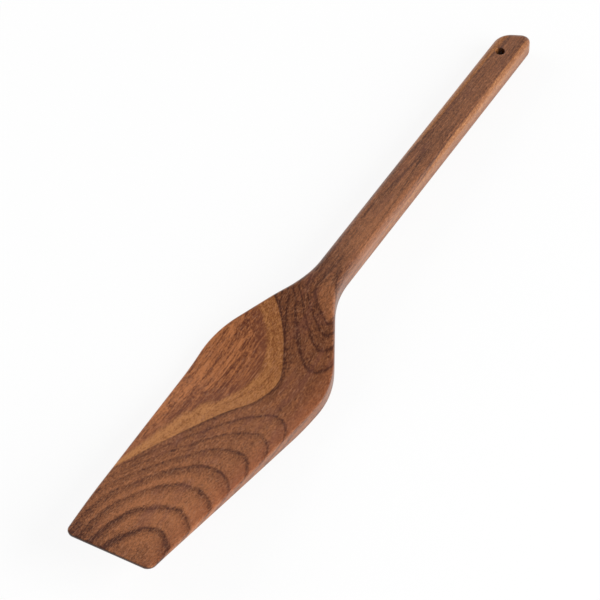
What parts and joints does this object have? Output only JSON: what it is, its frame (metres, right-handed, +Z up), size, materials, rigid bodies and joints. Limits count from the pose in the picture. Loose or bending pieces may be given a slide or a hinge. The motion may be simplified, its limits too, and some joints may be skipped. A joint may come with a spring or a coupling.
{
  "type": "wooden spatula",
  "caption": "Wooden spatula with a flat tapering blade lifted at its tip, a neck that sweeps up into a straight rounded handle, and a hanging hole, for turning and stirring food.",
  "frame": {"origin": "on the table, under the middle of the tool's length and width", "axes": "+X along the tool from the blade's tip to the handle's end, +Y across it, +Z up from the table"},
  "size_m": [0.3338, 0.0558, 0.0227],
  "materials": {
    "wood": "oiled satin, brown hardwood with darker growth lines and a paler streak"
  },
  "bodies": {
    "root": {"spatula": "wood"}
  },
  "joints": []
}
